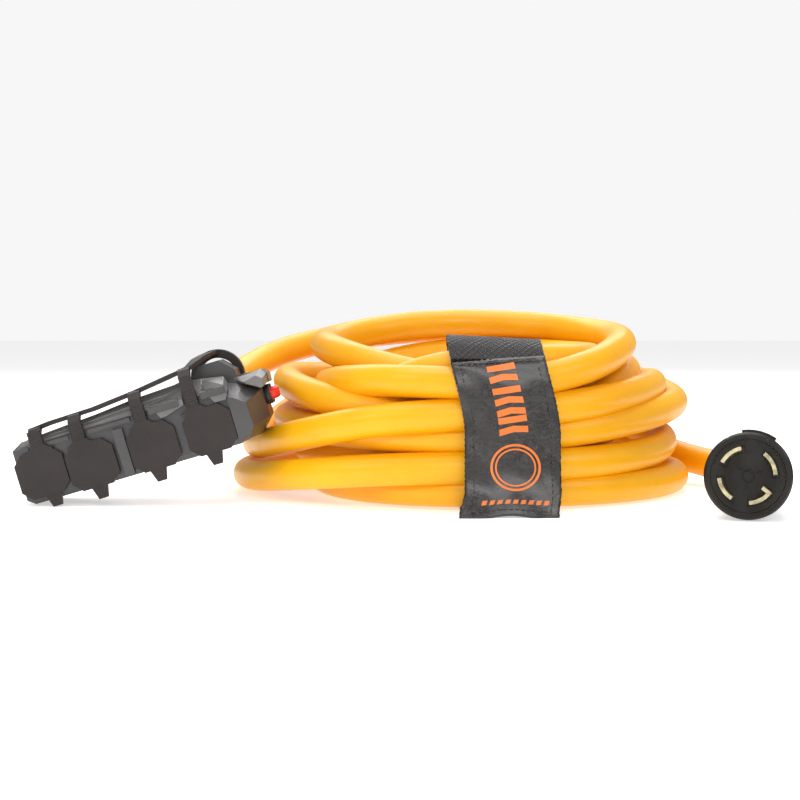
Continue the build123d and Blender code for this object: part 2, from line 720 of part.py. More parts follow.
def ground_hook(z0, z1, grow=0.0):
    """The short inward turn at one end of the ground blade."""
    angle = BLADE_ANGLES["blade_ground"] + BLADE_ARC / 2 - 3.4
    hook = brick(BLADE_R - 5.2 - grow, BLADE_R - 0.7 + grow, -0.95 - grow, 0.95 + grow, z0, z1)
    return Rot(0, 0, -angle) * hook


def blade_tail(angle):
    """Where a blade's tail stands, in the plug's own plane."""
    turn, tail_r = math.radians(-angle), BLADE_R - BLADE_T / 2
    return tail_r * math.cos(turn), tail_r * math.sin(turn)


def blade(name):
    angle = BLADE_ANGLES[name]
    body = arc_blade(angle, -BLADE_LENGTH, 9.4, BLADE_R, BLADE_T, BLADE_ARC)
    if name == "blade_ground":
        body += ground_hook(-BLADE_LENGTH, 9.4)
    x, y = blade_tail(angle)
    return body + Pos(x, y, 12.6) * (Cylinder(2.7, 7.0) - Cylinder(1.35, 8.0))


def plug_core():
    """The inner moulding that holds the blade tails."""
    core = turned([(0, 7.7), (19.4, 7.7), (19.4, 15.6), (17.6, 19.0), (0, 19.0)])
    for angle in BLADE_ANGLES.values():
        core -= arc_blade(angle, 7, 10.0, BLADE_R + 0.3, BLADE_T + 0.6, BLADE_ARC + 2)
        x, y = blade_tail(angle)
        core -= Pos(x, y, 14) * Cylinder(3.0, 16.0)
    core -= ground_hook(7, 10.0, 0.3)
    return core


def plug_body():
    """The outer moulding, with a raised grip rib."""
    outside = [(20.1, 5.1), (22.2, 5.1), (22.2, 12), (20.6, 17), (20.2, 26), (17.4, 40)]
    end = [(16.4, PLUG_BODY_LENGTH), (9.2, PLUG_BODY_LENGTH)]
    inside = [(9.2, 39.5), (16.6, 26), (19.6, 20.0), (19.6, 7.7), (20.1, 7.7)]
    shell = turned(outside + end + inside)
    rib = arc_blade(77, 6.0, 20.0, 24.4, 4.0, 44)
    rib -= turned([(0, 0), (20.3, 0), (20.3, 25), (0, 25)])
    shell += rib
    for k in range(10):
        angle = 36 * k + 18
        if not 40 < angle < 110:
            shell -= arc_blade(angle, 22, 38, 30, 10.6, 9)
    return shell


def plug_strain_relief():
    return ribbed_boot(PLUG_BODY_LENGTH + 0.1, PLUG_LENGTH, 13.4, 10.6, CORD_BORE, 6)


def plug_wires():
    """The four conductors from the jacket's end to the blade tails."""
    wires = []
    for angle in BLADE_ANGLES.values():
        x, y = blade_tail(angle)
        near_x, near_y = 0.315 * x, 0.315 * y
        path = [(near_x, near_y, 41.8), (near_x, near_y, 36.0), (x, y, 23.5), (x, y, 16.4)]
        wires.append(wire(path, 1.9))
    return Compound(wires)


def plug_jacket_end():
    """The last stretch of the cord, inside the plug's boot."""
    return upright(CORD_R, 42.0, PLUG_LENGTH)


# ---- Write every node ----
def main():
    save("block_front_housing", in_block(front_housing()))
    save("block_rear_housing", in_block(rear_housing()))
    save("housing_gasket", in_block(gasket()))
    for i, x in enumerate(OUTLET_X):
        save(f"outlet_face_{i + 1}", in_block(outlet_face(x)))
        save(f"outlet_contacts_{i + 1}", in_block(outlet_contacts(x)))
        save(f"cap_{i + 1}", in_block(cap(i)))
    line_x = BLADE_SPACING / 2 + 2
    save("neutral_busbar", in_block(busbar(OUTLET_X[0] + 4, 119.5, 24.5)))
    save("line_1_busbar", in_block(busbar(OUTLET_X[0] - line_x, OUTLET_X[1] - 4, 17.5)))
    save("line_2_busbar", in_block(busbar(OUTLET_X[2] - line_x, OUTLET_X[3] - 4, 17.5)))
    save("ground_busbar", in_block(busbar(OUTLET_X[0] - 2, 114.0, 9.5)))
    for i in range(2):
        save(f"breaker_{i + 1}_body", in_block(breaker_body(i)))
        save(f"breaker_{i + 1}_collar", in_block(breaker_collar(i)))
        save(f"breaker_{i + 1}_button", in_block(breaker_button(i)))
        save(f"breaker_{i + 1}_spring", in_block(breaker_spring(i)))
    save("housing_screws", in_block(housing_screws()))
    save("block_strain_relief", in_block(block_strain_relief()))
    save("cable_clamp", in_block(cable_clamp()))
    save("block_cord_end", in_block(block_cord_end()))
    save("tether_strap", in_block(tether_strap()))
    for name, points in BLOCK_WIRES.items():
        save(name, in_block(wire(points)))

    save("cord_block_lead", cord_tube("cord_block_lead", BLOCK_LEAD))
    save("cord_coil", cord_coil())
    save("cord_plug_lead", cord_tube("cord_plug_lead", PLUG_LEAD))
    save("strap_webbing", strap_webbing())
    save("strap_panel", strap_panel())
    save("strap_hook_tab", strap_hook_tab())

    at = plug_plane()
    save("plug_face", at * plug_face())
    for name in BLADE_ANGLES:
        save(name, at * blade(name))
    save("plug_core", at * plug_core())
    save("plug_body", at * plug_body())
    save("plug_strain_relief", at * plug_strain_relief())
    save("plug_wires", at * plug_wires())
    save("plug_cord_end", at * plug_jacket_end())


main()
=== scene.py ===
"""Looks for the shore power cord: its wound cord, storage strap, outlet block and locking plug.

Lengths in the tables are in millimetres, and mm() or in_block() turns them into the frame's metres.
"""

import json
import math

import bmesh
import bpy
import numpy as np
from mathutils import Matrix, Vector


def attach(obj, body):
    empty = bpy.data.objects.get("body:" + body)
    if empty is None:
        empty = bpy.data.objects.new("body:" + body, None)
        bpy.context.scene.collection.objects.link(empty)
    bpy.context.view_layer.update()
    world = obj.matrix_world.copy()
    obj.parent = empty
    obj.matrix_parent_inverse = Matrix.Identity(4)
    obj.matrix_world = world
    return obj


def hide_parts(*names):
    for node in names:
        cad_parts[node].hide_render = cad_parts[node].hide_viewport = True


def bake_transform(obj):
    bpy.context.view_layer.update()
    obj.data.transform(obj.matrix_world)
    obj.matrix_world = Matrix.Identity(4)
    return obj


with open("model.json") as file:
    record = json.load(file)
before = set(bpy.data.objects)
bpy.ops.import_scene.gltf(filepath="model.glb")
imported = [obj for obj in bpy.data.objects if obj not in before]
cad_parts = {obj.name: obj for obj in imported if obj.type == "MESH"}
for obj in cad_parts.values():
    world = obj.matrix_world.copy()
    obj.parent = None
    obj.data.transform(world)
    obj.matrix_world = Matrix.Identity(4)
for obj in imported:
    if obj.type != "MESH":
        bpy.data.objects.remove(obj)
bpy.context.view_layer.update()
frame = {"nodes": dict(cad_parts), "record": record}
nodes = frame["nodes"]
scene = bpy.context.scene

MM = 0.001
BLOCK_PITCH = math.radians(16.5)
BLOCK_AT = (-64.79, -37.8, -2.917)


# ---- Placing ----
def mm(point):
    return Vector(point) * MM


def in_block(point):
    """A point of the block's own axes, in millimetres, in the frame."""
    c, s = math.cos(BLOCK_PITCH), math.sin(BLOCK_PITCH)
    x, y, z = point
    at_x, at_y, at_z = BLOCK_AT
    return mm((at_x + x * c - z * s, at_y + y, at_z + x * s + z * c))


def add(name, data):
    obj = bpy.data.objects.new(name, data)
    scene.collection.objects.link(obj)
    return obj


def mesh_object(name, verts, faces, smooth=True):
    mesh = bpy.data.meshes.new(name)
    mesh.from_pydata([tuple(v) for v in verts], [], faces)
    mesh.update()
    mesh.polygons.foreach_set("use_smooth", [smooth] * len(mesh.polygons))
    return add(name, mesh)


def linear(red, green, blue):
    """A screen colour, 0 to 255, as the linear colour that a shader takes."""
    def one(value):
        v = value / 255
        return v / 12.92 if v <= 0.04045 else ((v + 0.055) / 1.055) ** 2.4

    return (one(red), one(green), one(blue), 1.0)


# ---- Camera ----
CAMERA_AT = (142.6, -927.8, 106.0)
CAMERA_DROP = 3.0
CAMERA_LENS = 72.1


def add_camera():
    data = bpy.data.cameras.new("camera")
    data.lens = CAMERA_LENS
    data.sensor_width = 36.0
    data.clip_start = 0.01
    camera = add("camera", data)
    camera.location = mm(CAMERA_AT)
    camera.rotation_euler = (math.radians(90 - CAMERA_DROP), 0, 0)
    scene.camera = camera


add_camera()

# ---- The cord ----
CORD_D = 18.0
CORD_R = CORD_D / 2
CORD_EXIT = (37.08, 42.2, 66.89)
LEAD_IN = [
    CORD_EXIT,
    (37.08, 72.5, 66.89),
    (46.2, 101.0, 73.0),
    (62.0, 131.0, 82.0),
    (92.0, 163.0, 90.0),
    (134.0, 187.0, 95.0),
]
LEAD_OUT = [
    (224.0, 128.5, 27.0),
    (262.0, 124.6, 27.5),
    (296.0, 112.0, 25.5),
    (326.0, 88.0, 15.5),
    (346.0, 56.0, 12.6),
    (351.9, 15.0, 9.6),
    (342.93, -21.05, 13.83),
]
COIL_X, COIL_Y = 181.0, 50.0
FIRST_BACK = (198.0, 98.0)
# Each turn: right (x, z), front (y, z), left (x, z), back (y, z)
TURNS = [
    ((311.6, 55.0), (-60.5, 39.0), (68.6, 45.0), (196.0, 60.0)),
    ((267.6, 40.0), (-42.5, 32.0), (82.6, 27.0), (194.0, 27.0)),
    ((306.1, 25.5), (-66.2, 24.5), (46.6, 10.0), (199.0, 9.0)),
    ((312.6, 8.5), (-58.5, 10.8), (94.6, 9.0), (172.0, 9.0)),
    ((268.0, 21.0), (-43.0, 13.0), (106.0, 20.0), (180.0, 42.0)),
    ((294.6, 68.0), (-66.2, 53.5), (48.6, 27.0), (186.0, 79.0)),
    ((279.0, 77.0), (-51.0, 58.5), (73.0, 70.0), (158.0, 62.0)),
    ((266.0, 60.0), (-43.5, 66.0), (91.0, 88.0), (120.0, 102.0)),
    ((272.0, 94.0), (-66.2, 70.0), (100.0, 62.0), (122.0, 84.0)),
    ((258.0, 79.0), (-51.5, 82.0), (99.0, 44.0), (128.0, 26.0)),
]
STEPS_PER_QUARTER = 4
LATE_CLIMBS = (8, 12)
SIDE_SHARE = 0.55


def turn_extremes():
    """The rightmost, front, leftmost and back point of every turn, in the order the cord runs."""
    points = [Vector((COIL_X, *FIRST_BACK))]
    for (right_x, right_z), (front_y, front_z), (left_x, left_z), (back_y, back_z) in TURNS:
        before = points[-1].y

        def side_y(back):
            return SIDE_SHARE * (back + front_y) / 2 + (1 - SIDE_SHARE) * COIL_Y

        points.append(Vector((right_x, side_y(before), right_z)))
        points.append(Vector((COIL_X, front_y, front_z)))
        points.append(Vector((left_x, side_y(back_y), left_z)))
        points.append(Vector((COIL_X, back_y, back_z)))
    return points


def quarter_turn(start, end, from_side, late):
    """Points along the quarter ellipse between two extremes, without the second."""
    points = []
    for k in range(STEPS_PER_QUARTER):
        angle = k / STEPS_PER_QUARTER * math.pi / 2
        rise = (1 - math.cos(2 * angle)) / 2
        if late:
            rise *= rise
        if from_side:
            x = end.x + (start.x - end.x) * math.cos(angle)
            y = start.y + (end.y - start.y) * math.sin(angle)
        else:
            x = start.x + (end.x - start.x) * math.sin(angle)
            y = end.y + (start.y - end.y) * math.cos(angle)
        points.append((x, y, start.z + (end.z - start.z) * rise))
    return points


def planned_route():
    """The cord's control points before they are settled."""
    points = list(LEAD_IN)
    extremes = turn_extremes()
    for k, (start, end) in enumerate(zip(extremes, extremes[1:])):
        points += quarter_turn(start, end, k % 2 == 1, k in LATE_CLIMBS)
    points.append(tuple(extremes[-1]))
    return np.array(points + LEAD_OUT, float)


def spline_weights(count, per_span):
    """Each row gives a clamped quadratic spline's weights on its control points at one place."""
    spans = count - 2
    knots = np.concatenate([[0, 0], np.arange(spans + 1), [spans, spans]]).astype(float)
    places = np.linspace(0, spans, spans * per_span + 1)
    weights = np.zeros((len(places), count))

    def share(place, i, degree):
        return (place - knots[i]) / (knots[i + degree] - knots[i])

    for row, place in enumerate(places):
        k = min(int(place), spans - 1) + 2
        low, high, top = share(place, k - 1, 2), share(place, k, 2), share(place, k, 1)
        weights[row, k - 2] = (1 - low) * (1 - top)
        weights[row, k - 1] = low * (1 - top) + (1 - high) * top
        weights[row, k] = high * top
    return weights


STRAP_X = 202.5
FIXED_START, FIXED_END = 3, 5
FLOOR_GAP = 0.9
# Two places on the cord are neighbours on one turn, not two turns, within this length of cord
NEIGHBOUR_RUN = 60.0
TINY = 1e-6

# Turns may lie closer at the strap than where they only touch
TOUCHING = CORD_D + 0.4
SQUEEZED = 15.0
SQUEEZE_HALF, SQUEEZE_EASE = 24.0, 60.0
SQUEEZE_FRONT = -15.0
CROWD_POWER = 0.6

# The strap's opening, which widens on both sides of its grip
BUNDLE_Y = (-66.2, -39.5)
BUNDLE_Z = (10.8, 81.0)
STRAP_REACH, STRAP_FRONT, STRAP_GRIP = 60.0, -12.0, 16.0
WIDEN_LOW, WIDEN_BACK, WIDEN_TOP = 100.0, 30.0, 100.0

# Boxes the cord stays out of: the block's high end, and the boot with the tether's loop
KEEP_OUT = [((-60, -42, 33), (73.6, 6.4, 72)), ((24, 4, 52), (50, 42.5, 92))]
KEEP_OUT_GAP = 0.8
KEEP_OUT_PUSH = 0.5

# Each stage is the round that it ends before, and its strength
ROUNDS = 330
PULLS = ((110, 0.08), (200, 0.05), (ROUNDS, 0.03))
PUSHES = ((260, 1.3), (ROUNDS, 0.7))
STIFFNESS = 0.05
RELAX_AFTER = 110
LEAST_BEND = 105.0
BEND_SHARE = 0.5


def pushes_apart(line, along):
    """How far each place on the cord is pushed by the turns that it overlaps."""
    away = line[:, None] - line[None]
    distance = np.linalg.norm(away, axis=2)
    ease = np.clip((np.abs(line[:, 0] - STRAP_X) - SQUEEZE_HALF) / SQUEEZE_EASE, 0, 1)
    room = np.where(line[:, 1] < SQUEEZE_FRONT, SQUEEZED + (TOUCHING - SQUEEZED) * ease, TOUCHING)
    room = np.minimum(room[:, None], room[None])
    apart = np.abs(along[:, None] - along[None]) > NEIGHBOUR_RUN
    i, j = np.nonzero((distance < room) & apart)
    gap = np.maximum(distance[i, j], TINY)
    push = away[i, j] / gap[:, None] * ((room[i, j] - gap) / 2)[:, None]
    total, count = np.zeros_like(line), np.zeros(len(line))
    np.add.at(total, i, push)
    np.add.at(count, i, 1)
    return total / np.maximum(count, 1)[:, None] ** CROWD_POWER


def keep_inside(line, move, along):
    """Adds what holds the cord on the floor, inside the strap and out of the block."""
    low = line[:, 2] < CORD_R + FLOOR_GAP
    move[low, 2] += CORD_R + FLOOR_GAP - line[low, 2]
    beside = np.abs(line[:, 0] - STRAP_X)
    strapped = (beside < STRAP_REACH) & (line[:, 1] < STRAP_FRONT)
    opening = np.clip(beside[strapped] - STRAP_GRIP, 0, None) ** 2
    for axis, (least, most), radius in ((1, BUNDLE_Y, WIDEN_BACK), (2, BUNDLE_Z, WIDEN_TOP)):
        place = line[strapped, axis] + move[strapped, axis]
        held = np.clip(place, least - opening / (2 * WIDEN_LOW), most + opening / (2 * radius))
        move[strapped, axis] += held - place
    reach = CORD_R + KEEP_OUT_GAP
    for lowest, highest in KEEP_OUT:
        lowest, highest = np.array(lowest) - reach, np.array(highest) + reach
        inside = ((line > lowest) & (line < highest)).all(1) & (along > NEIGHBOUR_RUN)
        for row in np.nonzero(inside)[0]:
            out = [highest[0] - line[row, 0], highest[1] - line[row, 1], line[row, 2] - lowest[2]]
            axis = int(np.argmin(out))
            move[row, axis] += (-KEEP_OUT_PUSH if axis == 2 else KEEP_OUT_PUSH) * out[axis]


def relax_bends(points, free):
    """Moves the points where the cord would bend more tightly than it can."""
    back, here, ahead = points[:-2], points[1:-1], points[2:]
    area = np.linalg.norm(np.cross(here - back, ahead - back), axis=1)
    lengths = [np.linalg.norm(v, axis=1) for v in (here - back, ahead - here, ahead - back)]
    radius = lengths[0] * lengths[1] * lengths[2] / np.maximum(2 * area, TINY)
    share = BEND_SHARE * np.clip(1 - radius / LEAST_BEND, 0, 1)[:, None]
    inward = share * ((back + ahead) / 2 - here)
    step = np.zeros_like(points)
    step[1:-1] += inward
    step[:-2] -= inward / 2
    step[2:] -= inward / 2
    points[free] += step[free]


def at_round(stages, k):
    return next(strength for end, strength in stages if k < end)


def settle(plan):
    """The control points, moved so that the turns lie beside each other wherever there is room."""
    points, count = plan.copy(), len(plan)
    weights = spline_weights(count, 2)
    load = np.maximum(weights.sum(0), 1e-9)[:, None]
    free = slice(FIXED_START, count - FIXED_END)
    for k in range(ROUNDS):
        line = weights @ points
        steps = np.linalg.norm(np.diff(line, axis=0), axis=1)
        along = np.concatenate([[0], np.cumsum(steps)])
        move = pushes_apart(line, along)
        keep_inside(line, move, along)
        shift = points - plan
        stiff = np.zeros_like(points)
        stiff[2:-2] = 4 * (shift[1:-3] + shift[3:-1]) - 6 * shift[2:-2] - shift[:-4] - shift[4:]
        pushed = at_round(PUSHES, k) * (weights.T @ move) / load
        change = pushed + STIFFNESS * stiff - at_round(PULLS, k) * shift
        points[free] += change[free]
        if k > RELAX_AFTER:
            relax_bends(points, free)
    return points


def add_cord():
    """The whole cord as one tube, from the block's boot to the plug."""
    points = settle(planned_route())
    data = bpy.data.curves.new("power_cord", "CURVE")
    data.dimensions = "3D"
    spline = data.splines.new("NURBS")
    spline.points.add(len(points) - 1)
    for here, place in zip(spline.points, points):
        here.co = (*mm(place), 1.0)
    spline.order_u = 3
    spline.use_endpoint_u = True
    data.resolution_u = 8
    data.bevel_depth = CORD_R * MM
    data.bevel_resolution = 10
    data.use_fill_caps = True
    return add("power_cord", data)


cord = add_cord()


# ---- Materials ----
def shader(name, colour, roughness, metallic=0.0, specular=0.5):
    """A new material and its Principled shader."""
    material = bpy.data.materials.new(name)
    material.use_nodes = True
    bsdf = material.node_tree.nodes["Principled BSDF"]
    bsdf.inputs["Base Color"].default_value = (*colour[:3], 1.0)
    bsdf.inputs["Roughness"].default_value = roughness
    bsdf.inputs["Metallic"].default_value = metallic
    bsdf.inputs["Specular IOR Level"].default_value = specular
    return material, bsdf


def noise(material, scale, detail=3.0, stretch=(1, 1, 1)):
    """Noise over the object's own coordinates; scale is in waves per metre."""
    tree = material.node_tree
    place = tree.nodes.new("ShaderNodeTexCoord")
    mapping = tree.nodes.new("ShaderNodeMapping")
    mapping.inputs["Scale"].default_value = stretch
    tree.links.new(place.outputs["Object"], mapping.inputs["Vector"])
    texture = tree.nodes.new("ShaderNodeTexNoise")
    texture.inputs["Scale"].default_value = scale
    texture.inputs["Detail"].default_value = detail
    tree.links.new(mapping.outputs["Vector"], texture.inputs["Vector"])
    return texture.outputs["Fac"]


def tinted(material, bsdf, factor, dark, light, low=0.3, high=0.7):
    """Colour that runs between two values with a texture."""
    tree = material.node_tree
    ramp = tree.nodes.new("ShaderNodeValToRGB")
    ramp.color_ramp.elements[0].position = low
    ramp.color_ramp.elements[0].color = dark
    ramp.color_ramp.elements[1].position = high
    ramp.color_ramp.elements[1].color = light
    tree.links.new(factor, ramp.inputs["Fac"])
    tree.links.new(ramp.outputs["Color"], bsdf.inputs["Base Color"])


def roughened(material, bsdf, factor, least, most):
    tree = material.node_tree
    spread = tree.nodes.new("ShaderNodeMapRange")
    spread.inputs["From Min"].default_value = 0.3
    spread.inputs["From Max"].default_value = 0.7
    spread.inputs["To Min"].default_value = least
    spread.inputs["To Max"].default_value = most
    tree.links.new(factor, spread.inputs["Value"])
    tree.links.new(spread.outputs["Result"], bsdf.inputs["Roughness"])


def bumped(material, bsdf, *layers):
    """Bumps from (texture, depth in millimetres), one on another."""
    tree = material.node_tree
    below = None
    for texture, depth in layers:
        bump = tree.nodes.new("ShaderNodeBump")
        bump.inputs["Strength"].default_value = 1.0
        bump.inputs["Distance"].default_value = depth * MM
        tree.links.new(texture, bump.inputs["Height"])
        if below:
            tree.links.new(below, bump.inputs["Normal"])
        below = bump.outputs["Normal"]
    tree.links.new(below, bsdf.inputs["Normal"])


def scaled(rgb, factor):
    return (rgb[0] * factor, rgb[1] * factor, rgb[2] * factor, 1.0)


def moulded(name, colour, roughness, grain=900.0, depth=0.05, variation=0.2, specular=0.5):
    """A moulded plastic or rubber: slight mottling, and a fine spark-eroded grain."""
    material, bsdf = shader(name, colour, roughness, specular=specular)
    mottling = noise(material, 60.0, 4.0)
    tinted(material, bsdf, mottling, scaled(colour, 1 - variation), scaled(colour, 1 + variation))
    roughened(material, bsdf, noise(material, 180.0), roughness - 0.06, roughness + 0.06)
    bumped(material, bsdf, (noise(material, grain, 2.0), depth))
    return material


def cord_material():
    material, bsdf = shader("cord_jacket", linear(250, 185, 6), 0.38, specular=0.4)
    tinted(material, bsdf, noise(material, 14.0, 4.0), (0.85, 0.37, 0.002, 1), (0.95, 0.48, 0.004, 1))
    roughened(material, bsdf, noise(material, 55.0), 0.30, 0.44)
    bumped(material, bsdf, (noise(material, 60.0, 2.0), 0.5), (noise(material, 1500.0, 2.0), 0.02))
    return material


def weave(material, across, along):
    """A height that rises over a chequer of threads; both are threads per metre."""
    tree = material.node_tree
    place = tree.nodes.new("ShaderNodeUVMap")
    mapping = tree.nodes.new("ShaderNodeMapping")
    mapping.inputs["Scale"].default_value = (across, along, 1)
    tree.links.new(place.outputs["UV"], mapping.inputs["Vector"])
    split = tree.nodes.new("ShaderNodeSeparateXYZ")
    tree.links.new(mapping.outputs["Vector"], split.inputs["Vector"])
    waves = []
    for axis in ("X", "Y"):
        wave = tree.nodes.new("ShaderNodeMath")
        wave.operation = "SINE"
        tree.links.new(split.outputs[axis], wave.inputs[0])
        waves.append(wave)
    product = tree.nodes.new("ShaderNodeMath")
    product.operation = "MULTIPLY"
    tree.links.new(waves[0].outputs[0], product.inputs[0])
    tree.links.new(waves[1].outputs[0], product.inputs[1])
    return product.outputs[0]


def woven(name, colour, roughness, threads_per_metre, depth, variation=0.3):
    """Webbing: a chequer of threads in colour and in relief."""
    material, bsdf = shader(name, colour, roughness)
    threads = weave(material, threads_per_metre * 2 * math.pi, threads_per_metre * 2 * math.pi)
    dark, light = scaled(colour, 1 - variation), scaled(colour, 1 + variation)
    tinted(material, bsdf, threads, dark, light, -0.6, 0.8)
    roughened(material, bsdf, noise(material, 70.0, 4.0), roughness - 0.1, roughness + 0.12)
    bumped(material, bsdf, (threads, depth))
    bsdf.inputs["Sheen Weight"].default_value = 0.15
    bsdf.inputs["Sheen Roughness"].default_value = 0.4
    return material


def label_material():
    """Coated nylon: black satin with soft creases that catch the light."""
    material, bsdf = shader("strap_label", linear(24, 20, 19), 0.28, specular=0.5)
    tinted(material, bsdf, noise(material, 50.0, 3.0), linear(17, 12, 10), linear(31, 24, 22))
    roughened(material, bsdf, noise(material, 60.0, 4.0), 0.2, 0.36)
    threads = weave(material, 3000.0 * math.pi, 3000.0 * math.pi)
    creases = noise(material, 38.0, 4.0, (1, 1, 1.5))
    bumped(material, bsdf, (creases, 9.0), (noise(material, 150.0, 3.0), 0.8), (threads, 0.02))
    bsdf.inputs["Coat Weight"].default_value = 0.5
    bsdf.inputs["Coat Roughness"].default_value = 0.22
    return material


def brass(name, colour, roughness):
    material, bsdf = shader(name, colour, roughness, metallic=1.0)
    tinted(material, bsdf, noise(material, 140.0, 4.0), scaled(colour, 0.8), scaled(colour, 1.1))
    roughened(material, bsdf, noise(material, 260.0), roughness - 0.08, roughness + 0.1)
    bumped(material, bsdf, (noise(material, 900.0, 2.0, (1, 8, 1)), 0.01))
    return material


looks = {
    "housing": moulded("housing", linear(62, 60, 60), 0.34, 1400.0, 0.04, 0.12, 0.7),
    # The housing's plastic made lighter for the roof's top facets: a painted highlight standing in for
    # the light they catch
    "housing_painted_highlight": moulded("housing_painted_highlight", linear(106, 104, 103), 0.34, 1400.0, 0.04, 0.14, 0.7),
    "seal": moulded("seal", linear(28, 28, 28), 0.8, 900.0, 0.05),
    "outlet_plastic": moulded("outlet_plastic", linear(44, 43, 43), 0.5, 1300.0, 0.03, 0.12),
    "contact_brass": brass("contact_brass", (0.72, 0.52, 0.24), 0.35),
    "breaker_case": moulded("breaker_case", linear(60, 60, 62), 0.5, 900.0, 0.03),
    "collar": moulded("collar", linear(30, 29, 29), 0.45, 900.0, 0.03),
    "reset_red": moulded("reset_red", (0.78, 0.018, 0.008), 0.25, 500.0, 0.01, 0.06),
    "spring_steel": brass("spring_steel", (0.6, 0.6, 0.6), 0.3),
    "screw_steel": brass("screw_steel", (0.58, 0.58, 0.56), 0.35),
    "clamp_plastic": moulded("clamp_plastic", linear(50, 50, 50), 0.5, 900.0, 0.03),
    "wire_black": moulded("wire_black", linear(26, 26, 26), 0.35, 500.0, 0.02),
    "wire_red": moulded("wire_red", linear(180, 30, 22), 0.35, 500.0, 0.02),
    "wire_white": moulded("wire_white", linear(232, 232, 228), 0.35, 500.0, 0.02, 0.04),
    "wire_green": moulded("wire_green", linear(28, 130, 58), 0.35, 500.0, 0.02),
    "boot_rubber": moulded("boot_rubber", linear(48, 46, 45), 0.55, 900.0, 0.05),
    "cap_rubber": moulded("cap_rubber", linear(46, 40, 38), 0.5, 800.0, 0.06, 0.16, 0.35),
    "cord_jacket": cord_material(),
    "strap_webbing": woven("strap_webbing", linear(46, 42, 41), 0.45, 560.0, 0.4),
    "strap_label": label_material(),
    "strap_tab": woven("strap_tab", linear(46, 42, 41), 0.42, 560.0, 0.4),
    "plug_shell": moulded("plug_shell", linear(24, 20, 16), 0.4, 1100.0, 0.04, 0.2, 0.4),
    "plug_inner": moulded("plug_inner", linear(50, 50, 50), 0.5, 900.0, 0.03),
    "plug_boot": moulded("plug_boot", linear(38, 36, 34), 0.5, 900.0, 0.05),
    "blade_brass": brass("blade_brass", (0.86, 0.74, 0.46), 0.28),
    "plug_wires": moulded("plug_wires", linear(90, 90, 90), 0.4, 500.0, 0.02),
    "thread": moulded("thread", linear(58, 54, 50), 0.5, 2500.0, 0.03),
    "ink": moulded("ink", linear(222, 116, 40), 0.42, 2500.0, 0.02, 0.12),
}


def finish_piece(obj, slot, body="block", look=None):
    """Gives a piece its slot's material or another look, and its body."""
    obj.data.materials.clear()
    obj.data.materials.append(looks[look or slot])
    if body:
        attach(obj, body)
    return obj


BEVELS = {
    "block_front_housing": 0.5,
    "block_rear_housing": 0.5,
    "tether_strap": 0.45,
    "plug_face": 0.25,
    "plug_body": 0.35,
    "breaker_1_collar": 0.25,
    "breaker_2_collar": 0.25,
}
CAP_BEVEL = 0.55
BEVEL_ANGLE = math.radians(28)
WELD_REACH = 0.00002


def dress_cad_nodes():
    """Each CAD node gets its slot's material, and the moulded ones get eased edges."""
    slot_of = {part["node"]: part["material_slot"] for part in frame["record"]["subparts"]}
    for name, obj in nodes.items():
        obj.data.materials.clear()
        obj.data.materials.append(looks[slot_of[name]])
        width = CAP_BEVEL if name.startswith("cap_") else BEVELS.get(name)
        if width:
            weld = obj.modifiers.new("weld", "WELD")
            weld.merge_threshold = WELD_REACH
            bevel = obj.modifiers.new("eased_edges", "BEVEL")
            bevel.width = width * MM
            bevel.segments = 2
            bevel.limit_method = "ANGLE"
            bevel.angle_limit = BEVEL_ANGLE
            bevel.use_clamp_overlap = True


dress_cad_nodes()

finish_piece(cord, "cord_jacket")
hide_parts("cord_block_lead", "cord_coil", "cord_plug_lead")


# ---- Storage strap ----
def smooth_step(value, low, high):
    t = min(1.0, max(0.0, (value - low) / (high - low)))
    return t * t * (3 - 2 * t)


def through(points, closed, per_span):
    """A smooth line through points in a plane, as a Catmull-Rom curve."""
    count = len(points)
    spans = count if closed else count - 1
    out = []
    for i in range(spans):
        if closed:
            four = [Vector(points[(i + k) % count]) for k in (-1, 0, 1, 2)]
        else:
            four = [Vector(points[min(max(i + k, 0), count - 1)]) for k in (-1, 0, 1, 2)]
        a, b, c, d = four
        for k in range(per_span):
            t = k / per_span
            squared, cubed = 2 * a - 5 * b + 4 * c - d, 3 * b - a - 3 * c + d
            out.append(0.5 * (2 * b + (c - a) * t + squared * t * t + cubed * t**3))
    if not closed:
        out.append(Vector(points[-1]))
    return out


def evenly(line, step, closed):
    """The line again at equal steps, with each place's distance along it."""
    points = line + [line[0]] if closed else line
    along = [0.0]
    for a, b in zip(points, points[1:]):
        along.append(along[-1] + (b - a).length)
    total = along[-1]
    count = max(2, round(total / step))
    places = [total * k / count for k in range(count if closed else count + 1)]
    ys = np.interp(places, along, [p[0] for p in points])
    zs = np.interp(places, along, [p[1] for p in points])
    return [Vector((y, z)) for y, z in zip(ys, zs)], places, total


STRAP_HALF = 25.4
WEBBING_LINE = [
    (-76.8, 12.0),
    (-76.8, 40.0),
    (-76.8, 64.0),
    (-74.4, 77.0),
    (-66.0, 87.2),
    (-52.0, 91.9),
    (-40.0, 90.6),
    (-31.5, 81.0),
    (-29.2, 60.0),
    (-29.2, 30.0),
    (-30.6, 8.0),
    (-38.0, 1.0),
    (-55.0, 0.9),
    (-70.0, 1.4),
]
PANEL_LINE = [
    (-92.2, 1.4),
    (-87.0, 14.0),
    (-82.6, 32.0),
    (-80.2, 52.0),
    (-79.2, 68.0),
    (-76.6, 79.0),
    (-74.0, 83.5),
]
STRAP_LEAN = -9.0
PER_SPAN = 12
WEBBING_FRAY, PANEL_FRAY = 0.35, 0.25
PANEL_STEP, PANEL_THICKNESS = 1.3, 1.2


def strap_shift(z):
    """How far the strap leans to one side where it goes over the top of the bundle."""
    return STRAP_LEAN * smooth_step(z, 42.0, 96.0) - 1.5 * smooth_step(-z, -14.0, 0.0)


